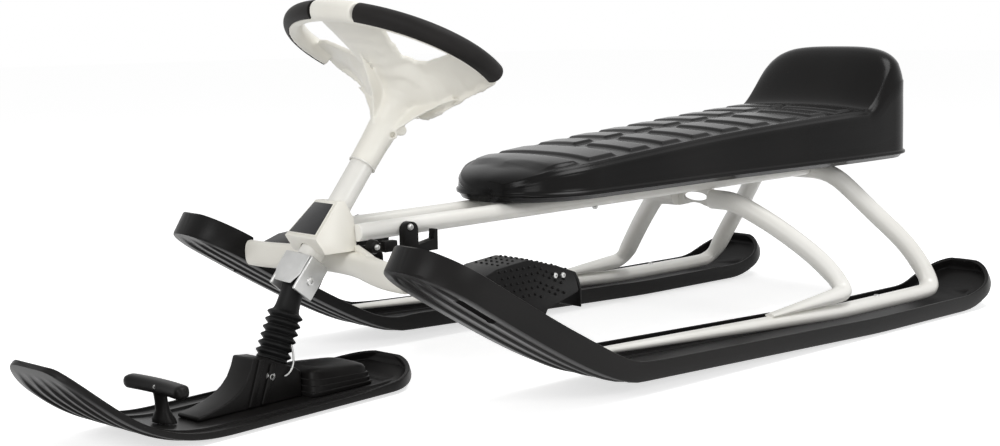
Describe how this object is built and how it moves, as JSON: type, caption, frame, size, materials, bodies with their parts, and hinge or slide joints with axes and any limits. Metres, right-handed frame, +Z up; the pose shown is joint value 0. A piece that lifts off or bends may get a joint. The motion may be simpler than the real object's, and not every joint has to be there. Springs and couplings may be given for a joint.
{
  "type": "steering sled",
  "caption": "Child's steering sled: white tube frame on two rear skis, long black moulded seat with a low back, and a wheel-steered front ski on a sprung leg.",
  "frame": {"origin": "on the floor at the middle of the outside box", "axes": "-Y is the front, the way the sled travels; +X is the rider's left; +Z is up"},
  "size_m": [0.489, 1.2911, 0.4044],
  "materials": {
    "white_paint": "off-white powder coat, satin",
    "white_plastic": "off-white moulded plastic, satin",
    "black_plastic": "black moulded plastic, semi-matte",
    "gloss_black": "black moulded plastic, glossy",
    "black_rubber": "black ribbed rubber",
    "black_grip": "black soft-touch grip, matte",
    "grey_metal": "grey zinc-coated steel"
  },
  "bodies": {
    "frame": {"steering_head": "white_paint", "front_crossbar": "white_paint", "front_web_plate": "white_paint", "main_tube_left": "white_paint", "main_tube_right": "white_paint", "front_leg_left": "white_paint", "front_leg_right": "white_paint", "rear_hoop": "white_paint", "ski_left": "black_plastic", "ski_right": "black_plastic", "footrest_left": "black_plastic", "footrest_right": "black_plastic", "brake_lug_left": "black_plastic", "brake_lug_right": "black_plastic", "seat": "gloss_black"},
    "steering": {"steering_wheel": "white_plastic", "wheel_grip_left": "black_grip", "wheel_grip_right": "black_grip", "steering_column": "white_paint", "steering_fork": "grey_metal", "spring_boot": "black_rubber", "ski_riser": "black_plastic", "steering_ski": "black_plastic", "tow_reel_housing": "black_plastic", "tow_handle": "black_plastic"}
  },
  "joints": [
    {"name": "steering_turn", "type": "hinge", "parent": "frame", "child": "steering", "pos_m": [0, -0.2694, 0.1755], "axis": [0, 0.617, 0.7869], "range_deg": [-35, 25]}
  ]
}
